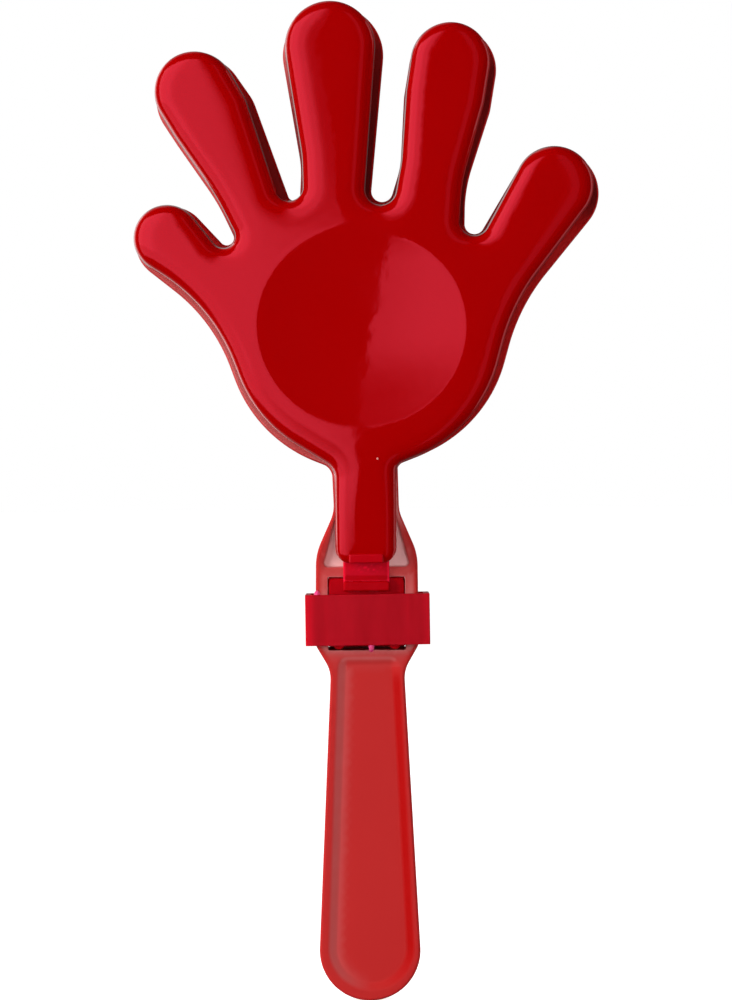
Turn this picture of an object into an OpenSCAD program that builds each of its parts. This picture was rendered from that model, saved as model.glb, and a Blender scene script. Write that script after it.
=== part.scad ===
// Hand clapper: a centre hand on a grip, with a loose hand in front and one behind,
// each on a flexible strap whose foot sits in a window of the handle under a sleeve.
// Frame: X to the right of the front view, Y to the rear, Z up along the fingers, origin in the grip.

/* [Handle] */
// Thickness of the grip and the hinge block, rim to rim
grip_thick = 9; // [8.4:0.1:9.2]
// Thickness of the neck and the centre hand
plate_thick = 3.2; // [2.4:0.1:4]
// Depth of the recessed panel on each face of the grip
panel_depth = 0.8; // [0.5:0.1:3]
// Half the width of the window that takes the hinge feet
window_half = 10.8; // [10.6:0.1:11.2]
// Height of the window's lower edge
window_bottom = 52; // [51.5:0.1:52.5]
// Height of the window's upper edge
window_top = 72.4; // [72.2:0.1:73]
// Height where the block starts to thin into the neck
ramp_start = 80; // [78:0.5:84]
// Height where the neck has its full thinness
ramp_end = 94; // [90:0.5:96]
// How far the centre hand stands out past the outer hands
margin = 1.25; // [1:0.05:1.5]

/* [Outer hands] */
// Distance of the open rim from the middle plane
hand_rim = 4.8; // [4.6:0.1:6]
// Depth of a hand from its rim to its face
hand_depth = 7.5; // [6:0.5:10]
// Thickness of the side wall
hand_wall = 1.6; // [1.2:0.1:2]
// Thickness of the face
face_wall = 2; // [1.6:0.1:2.5]
// Radius of the rounded outer edge
edge_round = 3; // [2.4:0.1:3.4]
// Draft of the side wall
edge_draft = 0.3; // [0.1:0.05:0.4]
// Radius of the round dish in the palm
dish_radius = 29.25; // [24:0.25:30]
// Depth of the dish at its middle
dish_depth = 1; // [0.5:0.1:1.4]
// Middle of the dish, sideways
dish_x = -0.25; // [-1.5:0.25:1.5]
// Middle of the dish, height
dish_z = 142.5; // [141:0.5:144]
// Half the length of the raised rib across the end of the stem
rib_half = 4.2; // [3:0.1:4.4]
// How far that rib stands proud of the face
rib_rise = 0.6; // [0.2:0.1:1]

/* [Hinges] */
// Height of the hinge axes
hinge_z = 74; // [73.5:0.1:74.5]
// Distance of the middle of each film from the middle plane
hinge_y = 5.1; // [5:0.1:5.6]
// Thickness of the film
film_thick = 0.8; // [0.4:0.1:1]
// Half the width of the film
film_half = 6.4; // [5:0.1:6.6]
// Degrees that the outer hands stand open at rest
rest_open = 4; // [0:0.5:8]
// Degrees that the front hand hangs sideways
front_lean = 0.3; // [-0.5:0.1:0.5]
// Degrees that the back hand hangs sideways
back_lean = -0.3; // [-0.5:0.1:0.5]

/* [Locking band] */
// Height of the lower edge
band_bottom = 53.5; // [52.8:0.1:54]
// Height of the upper edge
band_top = 67.7; // [66:0.1:68.2]
// Half the width
band_half = 17.35; // [17:0.05:20]
// Wall thickness
band_wall = 1.6; // [1:0.1:2]
// Distance of the inner faces from the middle plane
band_inner_y = 7; // [6.8:0.1:8]
// How far the band sits to the right of the middle
band_shift = 0.25; // [-0.4:0.05:0.4]
// Degrees that the band sits askew
band_lean = 0.4; // [-0.6:0.1:0.6]

/* [Hidden] */
$fn = 48;
far = 300;

// ---- outlines: circles joined by tangent lines; a negative radius is a hollow curve ----

function wrap(d) = d - 360 * floor((d + 180) / 360);
function tang(a, b) = let (d = [b[0] - a[0], b[1] - a[1]])
    atan2(d[1], d[0]) - acos((a[2] - b[2]) / norm(d));
function sweep(p, c, q) = let (w = wrap(tang(c, q) - tang(p, c)))
    c[2] > 0 && w < -20 ? w + 360 : c[2] < 0 && w > 20 ? w - 360 : w;
function steps(w, r) = max(2, ceil(abs(w) / 15), ceil(abs(w * r) * PI / 180 / 7));
function outline(cs, off = 0) = let (m = len(cs)) [
    for (i = [0 : m - 1])
        let (p = cs[(i + m - 1) % m], c = cs[i], q = cs[(i + 1) % m],
             a = tang(p, c), w = sweep(p, c, q), n = steps(w, c[2]))
        for (k = [0 : n]) let (t = a + w * k / n)
            [c[0] + (c[2] + off) * cos(t), c[1] + (c[2] + off) * sin(t)]];
// a long hollow curve between two circles, sinking by s into their tangent at the fraction f of the way
function waist(a, b, r, s, f = 0.5) = let (t = tang(a, b), h = a[2] + (b[2] - a[2]) * f + r - s)
    [a[0] + (b[0] - a[0]) * f + h * cos(t), a[1] + (b[1] - a[1]) * f + h * sin(t), -r];
function grow(cs, d) = [for (c = cs) [c[0], c[1], c[2] + d]];

// five fingers from the little finger round to the thumb
// sides and tips: pinky side, pinky, ring low, ring tip, middle, index low, index tip, thumb, thumb side
// webs: ring to pinky, middle to ring, index to middle, thumb to index
// dips of the finger flanks: ring's outer, ring's inner, middle's outer, index's outer
function five_fingers(tips, webs, dips) = [
    tips[0], tips[1], webs[0], waist(webs[0], tips[2], 40, dips[0], 0.36),
    tips[2], tips[3], tips[2], waist(tips[2], webs[1], 25, dips[1], 0.68), webs[1],
    tips[4], waist(tips[4], webs[2], 30, dips[2], 0.75), webs[2],
    tips[5], tips[6], tips[5], waist(tips[5], webs[3], 60, dips[3], 0.62),
    webs[3], tips[7], tips[8]];

fingers = five_fingers(
    [[93, 122, -56], [53.5, 180.3, 10.95], [23.75, 205.5, 11], [25.25, 214.5, 11.05], [-7.9, 219.2, 12.5],
     [-41.5, 200.75, 11.1], [-45.3, 207.3, 11.2], [-53.8, 167.3, 9.3], [-83, 115.5, -50]],
    [[31.25, 171, -4], [5.5, 180, -4.25], [-19.75, 181, -3.75], [-38.2, 167.75, -3.25]],
    [1.3, 0.6, 0.8, 0.8]);
// the centre hand's fingers are a little blunter; they stand out by the margin
plate_fingers = five_fingers(
    [[93.5, 121.9, -56.15], [53.9, 179.5, 11.05], [24, 205.5, 11], [25.5, 214.3, 11], [-8, 218.6, 12.85],
     [-41.6, 200.7, 11.1], [-45.4, 206.4, 11], [-53.7, 166.5, 8.9], [-83.3, 115.1, -49.75]],
    [[31.25, 171, -4], [5.4, 180.5, -4.25], [-19.3, 179.8, -2.95], [-38.3, 167.75, -3.25]],
    [1.6, 1.2, 1.2, 0.9]);

// one outer hand, from the lower right corner of its stem
hand = concat(
    [[4.5, 80.5, 4], [11.6, 102, -2.8], [0.5, 142, 38.5]],
    fingers,
    [[1, 142, 38], [-13.25, 100.5, -4.75], [-4.5, 80.5, 4]]);

// the whole handle with the centre hand
handle_line = concat(
    [[0.1, -32, 14.1], [19.5, 44, -9], [10.5, 54.4, 4], [-1.6, 75.5, 16], [19.3, 92.8, -10]],
    grow(concat([[10.9, 102.9, -3.05], [2.1, 142.7, 37.45]], plate_fingers, [[0.6, 141.3, 38.05], [-13.2, 100.3, -5.15]]), margin),
    [[-19, 92.5, -10], [1.9, 75.5, 16], [-10.4, 54.5, 4], [-19.3, 44, -9]]);

grip_panel = [[0.45, -31.2, 11], [6.2, 47.2, 1.9], [-5.4, 47.2, 1.9]];
neck_panel = [[10.7, 76.4, 1.1], [4.9, 96, 1.2], [-4.9, 96, 1.2], [-10.7, 76.4, 1.1]];

// ---- helpers ----

// an outline in the front view, between the depths y0 and y1
module slab(points, y0, y1) {
    translate([0, y1, 0]) rotate([90, 0, 0]) linear_extrude(height = y1 - y0) polygon(points);
}
// a side profile of (y, z) points, through everything
module profile(points) {
    rotate([90, 0, 90]) linear_extrude(height = far, center = true) polygon(points);
}
module block(x, y, z) {
    translate([x[0], y[0], z[0]]) cube([x[1] - x[0], y[1] - y[0], z[1] - z[0]]);
}
module both_faces() { children(); mirror([0, 1, 0]) children(); }
// hanging sideways about the middle of the hinge
module lean(a) { translate([0, 0, hinge_z]) rotate([0, -a, 0]) translate([0, 0, -hinge_z]) children(); }
// standing open about the front hinge axis
module opened() {
    translate([0, -hinge_y, hinge_z]) rotate([rest_open, 0, 0]) translate([0, hinge_y, -hinge_z]) children();
}

// ---- handle ----

module handle() {
    t = grip_thick / 2;
    p = plate_thick / 2;
    color([0.72, 0.12, 0.12]) difference() {
        intersection() {
            slab(outline(handle_line), -t, t);
            profile([[-t, -60], [t, -60], [t, ramp_start], [p, ramp_end], [p, 250],
                     [-p, 250], [-p, ramp_end], [-t, ramp_start]]);
        }
        block([-window_half, window_half], [-10, 10], [window_bottom, window_top]);
        both_faces() slab(outline(grip_panel), -10, panel_depth - t);
        both_faces() intersection() {
            slab(outline(neck_panel), -10, 0);
            profile([[-10, 70], [-3.3, 70], [-3.3, 75], [-p + 0.1, ramp_end - 1], [-p + 0.1, 97], [-p, 97.5], [-10, 97.5]]);
        }
    }
}

// ---- outer hands: one closed skin from the inner face round the rim to the outer face ----

face = hand_rim + hand_depth;
stem_end = 76.5;
r_in = edge_round - 1.2;
// [inset from the outline, depth, depth along the stem's rib]
skin = concat(
    [[hand_wall + edge_draft + r_in, face - face_wall]],
    [for (a = [60, 30]) [hand_wall + edge_draft + r_in * (1 - cos(a)), face - face_wall - r_in * (1 - sin(a))]],
    [[hand_wall + edge_draft, face - face_wall - r_in], [hand_wall, hand_rim + 0.25], [0, hand_rim]],
    [[edge_draft, face - edge_round, face - 1]],
    [for (a = [22.5, 45, 67.5]) [edge_draft + edge_round * (1 - cos(a)), face - edge_round * (1 - sin(a)), face + rib_rise]],
    [[edge_draft + edge_round, face]]);

function ring(s) = let (z = stem_end + s[0] - 0.05, d = is_undef(s[2]) ? s[1] : s[2]) concat(
    [for (q = outline(hand, -s[0])) [q[0], -s[1], q[1]]],
    [[-rib_half, -d, z], [rib_half, -d, z]]);

// the dish, clockwise from its top in the front view
dish_steps = 60;
ball = (dish_radius * dish_radius + dish_depth * dish_depth) / (2 * dish_depth);
function dish_ring(r) = [for (k = [0 : dish_steps - 1]) let (a = 90 - k * 360 / dish_steps)
    [dish_x + r * cos(a), -(face - dish_depth + ball - sqrt(ball * ball - r * r)), dish_z + r * sin(a)]];

// cuts a polygon, given as indices of points in counter-clockwise order, into triangles, ear by ear
function turn(a, b, c) = (b[0] - a[0]) * (c[1] - a[1]) - (b[1] - a[1]) * (c[0] - a[0]);
function within(p, a, b, c) = turn(a, b, p) >= 0 && turn(b, c, p) >= 0 && turn(c, a, p) >= 0;
function is_ear(p, ids, i) = let (m = len(ids), u = ids[(i + m - 1) % m], v = ids[i], w = ids[(i + 1) % m])
    turn(p[u], p[v], p[w]) > 0
    && len([for (k = ids) if (k != u && k != v && k != w && within(p[k], p[u], p[v], p[w])) k]) == 0;
function next_ear(p, ids, i, left) = left == 0 || is_ear(p, ids, i % len(ids)) ? i % len(ids) : next_ear(p, ids, i + 1, left - 1);
function ears(p, ids, start = 0, done = []) = len(ids) == 3 ? concat(done, [ids]) :
    let (m = len(ids), i = next_ear(p, ids, start, m))
    ears(p, [for (k = [0 : m - 1]) if (k != i) ids[k]], i + 1,
         concat(done, [[ids[(i + m - 1) % m], ids[i], ids[(i + 1) % m]]]));
function flip(ts) = [for (t = ts) [t[2], t[1], t[0]]];

module hand_shell() {
    rings = [for (s = skin) ring(s)];
    n = len(rings[0]);
    m = len(rings);
    heights = [for (q = rings[m - 1]) q[2]];
    tip = search(max(heights), heights)[0];
    radii = [for (k = [0 : 4]) dish_radius * (1 - k / 5)];
    dishes = [for (r = radii) dish_ring(r)];
    e = m * n;
    top = (m - 1) * n;
    half = dish_steps / 2;
    last = e + len(radii) * dish_steps;
    pts = concat([for (g = rings) each g], [for (g = dishes) each g], [[dish_x, -(face - dish_depth), dish_z]]);
    flat = [for (q = pts) [q[0], q[2]]];
    sides = [for (j = [0 : m - 2]) for (i = [0 : n - 1])
        [j * n + i, (j + 1) * n + i, (j + 1) * n + (i + 1) % n, j * n + (i + 1) % n]];
    inner = ears(flat, [for (i = [0 : n - 1]) i]);
    right = ears(flat, concat([for (i = [0 : tip]) top + i], [for (k = [0 : half]) e + k]));
    left = ears(flat, concat([for (i = [tip : n - 1]) top + i], [top], [for (k = [half : dish_steps - 1]) e + k], [e]));
    bowl = [for (j = [0 : len(radii) - 2]) for (k = [0 : dish_steps - 1])
        [e + j * dish_steps + k, e + j * dish_steps + (k + 1) % dish_steps,
         e + (j + 1) * dish_steps + (k + 1) % dish_steps, e + (j + 1) * dish_steps + k]];
    middle_fan = [for (k = [0 : dish_steps - 1])
        [last - dish_steps + k, last - dish_steps + (k + 1) % dish_steps, last]];
    polyhedron(pts, concat(inner, sides, flip(right), flip(left), bowl, middle_fan));
}

module front_hand() { color([0.68, 0.02, 0.02]) lean(front_lean) opened() hand_shell(); }
module back_hand() { color([0.68, 0.02, 0.02]) mirror([0, 1, 0]) lean(back_lean) opened() hand_shell(); }

// ---- hinge straps ----

module film() {
    block([-film_half, film_half], [-hinge_y - film_thick / 2, -hinge_y + film_thick / 2], [71.2, 76.2]);
}
module foot() {
    difference() {
        slab(outline([[9.2, window_bottom + 1.3, 1.3], [9.2, 70.8, 1.3], [-9.2, 70.8, 1.3], [-9.2, window_bottom + 1.3, 1.3]]), -4.4, 0);
        block([-8.7, 8.7], [-2.6, 1], [53.8, 70.3]);
    }
    block([-film_half, film_half], [-6.6, -4.2], [68.4, 71.2]);
    for (x = [-7.8, 7.8]) translate([x, -4.2, 54.1]) rotate([90, 0, 0]) cylinder(r = 1.7, h = band_inner_y - 4.2);
}

module front_hinge_film() { color([0.8, 0.08, 0.2]) film(); }
module front_hinge_foot() { color([0.72, 0.05, 0.12]) foot(); }
module back_hinge_film() { color([0.8, 0.08, 0.2]) mirror([0, 1, 0]) film(); }
module back_hinge_foot() { color([0.72, 0.05, 0.12]) mirror([0, 1, 0]) foot(); }

// ---- locking band ----

module locking_band() {
    mid = (band_bottom + band_top) / 2;
    color([0.74, 0.07, 0.14]) translate([band_shift, 0, mid]) rotate([0, -band_lean, 0]) translate([0, 0, -mid]) difference() {
        block([-band_half, band_half], [-band_inner_y - band_wall, band_inner_y + band_wall], [band_bottom, band_top]);
        block([-band_half + band_wall, band_half - band_wall], [-band_inner_y, band_inner_y], [band_bottom - 1, band_top + 1]);
    }
}

handle();
front_hand();
front_hinge_film();
front_hinge_foot();
back_hand();
back_hinge_film();
back_hinge_foot();
locking_band();
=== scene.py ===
"""Looks of a hand clapper: three plastic hands on one grip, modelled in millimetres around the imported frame."""

import math

import bpy
import numpy as np
from mathutils import Matrix, Vector, kdtree
from mathutils.geometry import delaunay_2d_cdt


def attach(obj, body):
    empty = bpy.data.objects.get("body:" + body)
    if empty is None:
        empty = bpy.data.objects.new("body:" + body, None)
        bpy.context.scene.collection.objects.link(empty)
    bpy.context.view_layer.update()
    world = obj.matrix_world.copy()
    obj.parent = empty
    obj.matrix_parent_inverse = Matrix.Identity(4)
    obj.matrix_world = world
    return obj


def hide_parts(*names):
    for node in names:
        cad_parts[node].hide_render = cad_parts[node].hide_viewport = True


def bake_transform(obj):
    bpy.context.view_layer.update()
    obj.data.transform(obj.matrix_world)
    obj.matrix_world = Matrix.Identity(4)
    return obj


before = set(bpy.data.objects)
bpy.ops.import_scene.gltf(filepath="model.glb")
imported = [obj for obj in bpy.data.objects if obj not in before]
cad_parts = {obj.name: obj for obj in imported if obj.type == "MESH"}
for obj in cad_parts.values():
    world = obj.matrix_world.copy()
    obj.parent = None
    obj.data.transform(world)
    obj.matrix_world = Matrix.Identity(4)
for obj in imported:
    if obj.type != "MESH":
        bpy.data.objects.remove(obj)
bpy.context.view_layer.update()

MM = 0.001
DEG = math.pi / 180

# ---------------------------------------------------------------- dimensions, as in the CAD model

GRIP_T, PLATE_T = 9.0, 3.2
WIN_X, WIN_LO, WIN_HI = 10.8, 52.0, 72.4
RAMP_LO, RAMP_HI = 80.0, 94.0
RIM, FACE = 4.8, 12.3
WALL, FACE_WALL, DRAFT = 1.6, 2.0, 0.3
DISH_R, DISH_X, DISH_Z = 29.25, -0.2, 142.5
HINGE_Y, HINGE_Z = 5.1, 74.0
FILM_T, FILM_HALF = 0.8, 6.4
OPEN, LEAN = 4.0, 0.3
BAND_LO, BAND_HI, BAND_HALF, BAND_WALL, BAND_IN, BAND_LEAN = 53.5, 67.7, 17.35, 1.6, 7.0, 0.4
BAND_X = 0.25

# outlines in the front view: circles (x, z, r) joined by tangent lines; a negative radius is a hollow curve


def tang(a, b):
    dx, dz = b[0] - a[0], b[1] - a[1]
    return math.atan2(dz, dx) - math.acos((a[2] - b[2]) / math.hypot(dx, dz))


def waist(a, b, r, s, f=0.5):
    """A hollow curve that dips s into the tangent line from a to b, at the fraction f of the way."""
    t = tang(a, b)
    h = a[2] + (b[2] - a[2]) * f + r - s
    return (a[0] + (b[0] - a[0]) * f + h * math.cos(t), a[1] + (b[1] - a[1]) * f + h * math.sin(t), -r)


def belt(circles, step=0.8, turn=7.0):
    """Points and outward normals along an outline, evenly spaced enough for a smooth edge."""
    m = len(circles)
    ang = [tang(circles[i], circles[(i + 1) % m]) for i in range(m)]
    pts, nrm = [], []
    for i in range(m):
        c, q = circles[i], circles[(i + 1) % m]
        w = (ang[i] - ang[i - 1] + math.pi) % (2 * math.pi) - math.pi
        if c[2] > 0 and w < -0.35:
            w += 2 * math.pi
        if c[2] < 0 and w > 0.35:
            w -= 2 * math.pi
        n = max(2, math.ceil(abs(w) / (turn * DEG)), math.ceil(abs(w * c[2]) / step))
        for k in range(n + 1):
            t = ang[i - 1] + w * k / n
            pts.append((c[0] + c[2] * math.cos(t), c[1] + c[2] * math.sin(t)))
            nrm.append((math.cos(t), math.sin(t)))
        a = pts[-1]
        t = ang[i]
        b = (q[0] + q[2] * math.cos(t), q[1] + q[2] * math.sin(t))
        k = int(math.hypot(b[0] - a[0], b[1] - a[1]) / (1.6 * step))
        for j in range(1, k):
            pts.append((a[0] + (b[0] - a[0]) * j / k, a[1] + (b[1] - a[1]) * j / k))
            nrm.append((math.cos(t), math.sin(t)))
    p, n = np.array(pts), np.array(nrm)
    keep = np.hypot(*(p - np.roll(p, 1, 0)).T) > 1e-4
    return p[keep], n[keep]


def five_fingers(pinky_side, pinky, web_ring_pinky, ring_low, ring_tip, web_mid_ring, middle, web_index_mid,
                 index_low, index_tip, web_thumb_index, thumb, thumb_side, ring_in, ring_out, middle_in, index_in):
    return [
        pinky_side, pinky, web_ring_pinky, waist(web_ring_pinky, ring_low, 40, ring_in, 0.36),
        ring_low, ring_tip, ring_low, waist(ring_low, web_mid_ring, 25, ring_out, 0.68), web_mid_ring,
        middle, waist(middle, web_index_mid, 30, middle_in, 0.75), web_index_mid,
        index_low, index_tip, index_low, waist(index_low, web_thumb_index, 60, index_in, 0.62),
        web_thumb_index, thumb, thumb_side]


fingers = five_fingers(
    (93, 122, -56), (53.5, 180.3, 10.95), (31.25, 171, -4), (23.75, 205.5, 11), (25.25, 214.5, 11.05), (5.5, 180, -4.25),
    (-7.9, 219.2, 12.5), (-19.75, 181, -3.75), (-41.5, 200.75, 11.1), (-45.3, 207.3, 11.2), (-38.2, 167.75, -3.25),
    (-53.8, 167.3, 9.3), (-83, 115.5, -50), 1.3, 0.6, 0.8, 0.8)
plate_fingers = five_fingers(
    (93.5, 121.9, -54.9), (53.9, 179.5, 12.3), (31.25, 171, -2.75), (24, 205.5, 12.25), (25.5, 214.3, 12.25), (5.4, 180.5, -3),
    (-8, 218.6, 14.1), (-19.3, 179.8, -1.7), (-41.6, 200.7, 12.35), (-45.4, 206.4, 12.25), (-38.3, 167.75, -2),
    (-53.7, 166.5, 10.15), (-83.3, 115.1, -48.5), 1.6, 1.2, 1.2, 0.9)
hand_line = [(4.5, 80.5, 4), (11.6, 102, -2.8), (0.5, 142, 38.5)] + fingers + [
    (1, 142, 38), (-13.25, 100.5, -4.75), (-4.5, 80.5, 4)]
handle_line = [
    (0.1, -32, 14.1), (19.5, 44, -9), (10.5, 54.4, 4), (-1.6, 75.5, 16), (19.3, 92.8, -10),
    (10.9, 102.9, -1.8), (2.1, 142.7, 38.7)] + plate_fingers + [
    (0.6, 141.3, 39.3), (-13.2, 100.3, -3.9),
    (-19, 92.5, -10), (1.9, 75.5, 16), (-10.4, 54.5, 4), (-19.3, 44, -9)]
grip_panel = [(0.45, -31.2, 11.4), (6.2, 47.2, 2.3), (-5.4, 47.2, 2.3)]


def rounded_box(x0, x1, z0, z1, r):
    return [(x1 - r, z0 + r, r), (x1 - r, z1 - r, r), (x0 + r, z1 - r, r), (x0 + r, z0 + r, r)]


# ---------------------------------------------------------------- small maths


def smooth(t):
    t = np.clip(t, 0, 1)
    return t * t * t * (t * (6 * t - 15) + 10)


def softplus(t, w):
    return w * np.logaddexp(0, np.asarray(t, float) / w)


def ease(t):
    t = np.clip(t, 0, 1)
    return t * t * (3 - 2 * t)


class Outline:
    """Signed distance inside a belt outline, positive inwards."""

    def __init__(self, circles, step=0.25):
        self.p, self.n = belt(circles, step, 3.0)
        self.kd = kdtree.KDTree(len(self.p))
        for i, q in enumerate(self.p):
            self.kd.insert((q[0], q[1], 0), i)
        self.kd.balance()
        self.t = np.stack([-self.n[:, 1], self.n[:, 0]], 1)

    def depth(self, pts):
        """Distance inside and the outward direction at each point."""
        d = np.empty(len(pts))
        g = np.empty((len(pts), 2))
        for i, q in enumerate(pts):
            _, k, _ = self.kd.find((q[0], q[1], 0))
            v = np.asarray(q) - self.p[k]
            v = v - self.t[k] * np.clip(v @ self.t[k], -0.2, 0.2)
            s = -(v @ self.n[k])
            L = math.hypot(*v)
            d[i] = L if s > 0 else -L
            g[i] = self.n[k] if L < 0.05 else (-v / L if s > 0 else v / L)
        return d, g


def in_polygon(pts, poly):
    x, z = pts[:, 0][:, None], pts[:, 1][:, None]
    a, b = poly, np.roll(poly, -1, 0)
    cross = (a[:, 1] > z) != (b[:, 1] > z)
    with np.errstate(divide="ignore", invalid="ignore"):
        at = (b[:, 0] - a[:, 0]) * (z - a[:, 1]) / (b[:, 1] - a[:, 1]) + a[:, 0]
    return (cross & (x < at)).sum(1) % 2 == 1


def hex_grid(lo, hi, pitch):
    rows = np.arange(lo[1], hi[1], pitch * 0.866)
    out = []
    for k, z in enumerate(rows):
        xs = np.arange(lo[0] + (k % 2) * pitch / 2, hi[0], pitch)
        out.append(np.stack([xs, np.full(len(xs), z)], 1))
    return np.concatenate(out)


def fill(outer, holes=(), lines=(), pitch=2.0, clear=0.7, extra=()):
    """Triangles over the region inside outer and outside the holes, with the lines as edges.
    Returns all points (outer first, then the holes, then the lines, then the free ones) and the triangles."""
    loops = [outer, *holes, *lines]
    pts = np.concatenate(loops)
    edges, k = [], 0
    for l in loops:
        n = len(l)
        edges += [(k + i, k + (i + 1) % n) for i in range(n)]
        k += n
    kd = kdtree.KDTree(len(pts))
    for i, q in enumerate(pts):
        kd.insert((q[0], q[1], 0), i)
    kd.balance()
    grid = hex_grid(outer.min(0), outer.max(0), pitch)
    ok = in_polygon(grid, outer)
    for h in holes:
        ok &= ~in_polygon(grid, h)
    grid = grid[ok]
    grid = np.array([q for q in grid if kd.find((q[0], q[1], 0))[2] > clear * pitch]).reshape(-1, 2)
    allp = np.concatenate([pts, grid, *extra]) if len(extra) else np.concatenate([pts, grid])
    v, _, f, ov, _, _ = delaunay_2d_cdt([Vector((float(a), float(b))) for a, b in allp], edges, [], 0, 1e-6)
    back = [o[0] if o else -1 for o in ov]
    tris = np.array([[back[i] for i in t] for t in f])
    tris = tris[(tris >= 0).all(1)]
    c = allp[tris].mean(1)
    ok = in_polygon(c, outer)
    for h in holes:
        ok &= ~in_polygon(c, h)
    tris = tris[ok]
    a, b, d = allp[tris[:, 0]], allp[tris[:, 1]], allp[tris[:, 2]]
    area = (b[:, 0] - a[:, 0]) * (d[:, 1] - a[:, 1]) - (b[:, 1] - a[:, 1]) * (d[:, 0] - a[:, 0])
    tris[area < 0] = tris[area < 0][:, ::-1]
    return allp, tris[np.abs(area) > 1e-9]


class Build:
    """Vertices with their own normals, and faces, in millimetres."""

    def __init__(self):
        self.v, self.n, self.f, self.k = [], [], [], 0
        self.tint = []

    def add(self, p, n, tint=0.0):
        p, n = np.asarray(p, float).reshape(-1, 3), np.asarray(n, float).reshape(-1, 3)
        n = n / np.maximum(np.linalg.norm(n, axis=1), 1e-12)[:, None]
        ids = np.arange(self.k, self.k + len(p))
        self.v.append(p)
        self.n.append(n)
        self.tint.append(np.broadcast_to(np.asarray(tint, float), (len(p),)))
        self.k += len(p)
        return ids

    def faces(self, fs):
        self.f += [tuple(int(i) for i in t) for t in fs]

    def strip(self, a, b):
        """Quads between two closed rings of the same count."""
        n = len(a)
        self.faces([(a[i], a[(i + 1) % n], b[(i + 1) % n], b[i]) for i in range(n)])

    def arrays(self):
        return np.concatenate(self.v), np.concatenate(self.n), np.concatenate(self.tint)


def make(name, build, matrix=None, weld=2e-3, mirror=False, smooth_normals=True):
    """A mesh object from a Build: outward faces, welded seams, its own normals."""
    v, n, tint = build.arrays()
    faces = build.f
    if mirror:
        v, n = v * (1, -1, 1), n * (1, -1, 1)
        faces = [t[::-1] for t in faces]
    if matrix is not None:
        m = np.array(matrix)
        v = v @ m[:3, :3].T + m[:3, 3]
        n = n @ m[:3, :3].T
    # weld equal points; each face corner keeps the normal it was given
    key = np.round(v / weld).astype(np.int64)
    _, first, inv = np.unique(key, axis=0, return_index=True, return_inverse=True)
    inv = inv.reshape(-1)
    out, corner = [], []
    seen = set()
    for t in faces:
        u = [int(inv[i]) for i in t]
        loop = [(a, i) for j, (a, i) in enumerate(zip(u, t)) if a != u[j - 1]]
        if len(loop) < 3 or len({a for a, _ in loop}) < len(loop):
            continue
        tag = frozenset(a for a, _ in loop)
        if tag in seen:
            continue
        seen.add(tag)
        # each face looks the way its normals do
        c = v[[i for _, i in loop]]
        w = np.cross(c, np.roll(c, -1, 0)).sum(0)
        if w @ n[[i for _, i in loop]].sum(0) < 0:
            loop = loop[::-1]
        out.append([a for a, _ in loop])
        corner += [i for _, i in loop]
    me = bpy.data.meshes.new(name)
    me.from_pydata((v[first] * MM).tolist(), [], out)
    me.update()
    at = me.attributes.new("zone", "FLOAT", "POINT")
    at.data.foreach_set("value", tint[first].astype(np.float32))
    me.polygons.foreach_set("use_smooth", np.ones(len(me.polygons), bool))
    if smooth_normals:
        me.normals_split_custom_set([tuple(float(c) for c in n[i]) for i in corner])
    ob = bpy.data.objects.new(name, me)
    bpy.context.collection.objects.link(ob)
    return ob


def swap(p2, y):
    """Front-view points with a depth, as (x, y, z)."""
    p2 = np.asarray(p2, float)
    return np.stack([p2[:, 0], np.broadcast_to(y, (len(p2),)), p2[:, 1]], 1)


def pillow(b, circles, y0, y1, r, pitch=3.0, step=0.5, arc=5, tint=0.0, frame3=None, turn=9.0):
    """A closed slab between the depths y0 < y1 with edges rounded by r, added to a Build."""
    p, n = belt(circles, step, turn)
    base = len(b.v)
    rings = []
    for k in range(arc + 1):
        a = k / arc * 90 * DEG
        ins, y = r * (1 - math.sin(a)), y0 + r * (1 - math.cos(a))
        nn = np.stack([n[:, 0] * math.sin(a), np.full(len(n), -math.cos(a)), n[:, 1] * math.sin(a)], 1)
        rings.append(b.add(swap(p - n * ins, y), nn, tint))
    for k in range(arc, -1, -1):
        a = k / arc * 90 * DEG
        ins, y = r * (1 - math.sin(a)), y1 - r * (1 - math.cos(a))
        nn = np.stack([n[:, 0] * math.sin(a), np.full(len(n), math.cos(a)), n[:, 1] * math.sin(a)], 1)
        rings.append(b.add(swap(p - n * ins, y), nn, tint))
    for i in range(len(rings) - 1):
        b.strip(rings[i], rings[i + 1])
    inner = p - n * r
    q, t = fill(inner, pitch=pitch)
    m = len(inner)
    for ring, y, s in ((rings[0], y0, -1), (rings[-1], y1, 1)):
        more = b.add(swap(q[m:], y), np.tile((0, s, 0), (len(q) - m, 1)), tint) if len(q) > m else np.zeros(0, int)
        ids = np.concatenate([ring, more])
        b.faces(ids[t] if s < 0 else ids[t[:, ::-1]])
    if frame3 is not None:
        for k in range(base, len(b.v)):
            b.v[k] = frame3(b.v[k])
            b.n[k] = frame3(b.n[k], True)


# ---------------------------------------------------------------- the outer hands

# the face falls away to the edge: its slope fades with the distance in from the outline
EDGE0, FADE, TAIL = 80.0, 1.45, 8.4
_d = np.linspace(0, 12, 4801)
_phi = np.clip(EDGE0 * np.exp(-_d / FADE) - EDGE0 * math.exp(-TAIL / FADE), 0, None) * DEG
_fall = np.concatenate([[0], np.cumsum((np.tan(_phi[1:]) + np.tan(_phi[:-1])) / 2 * np.diff(_d))])
_fall = _fall - _fall[-1]


def tight(z):
    """How much narrower the soft edge is, at a height: the stem's is crisper than the palm's."""
    return 0.72 + 0.28 * smooth((np.asarray(z, float) - 86) / 30)


def edge_fall(d, z):
    k = tight(z)
    return k * np.interp(d / k, _d, _fall)


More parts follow.
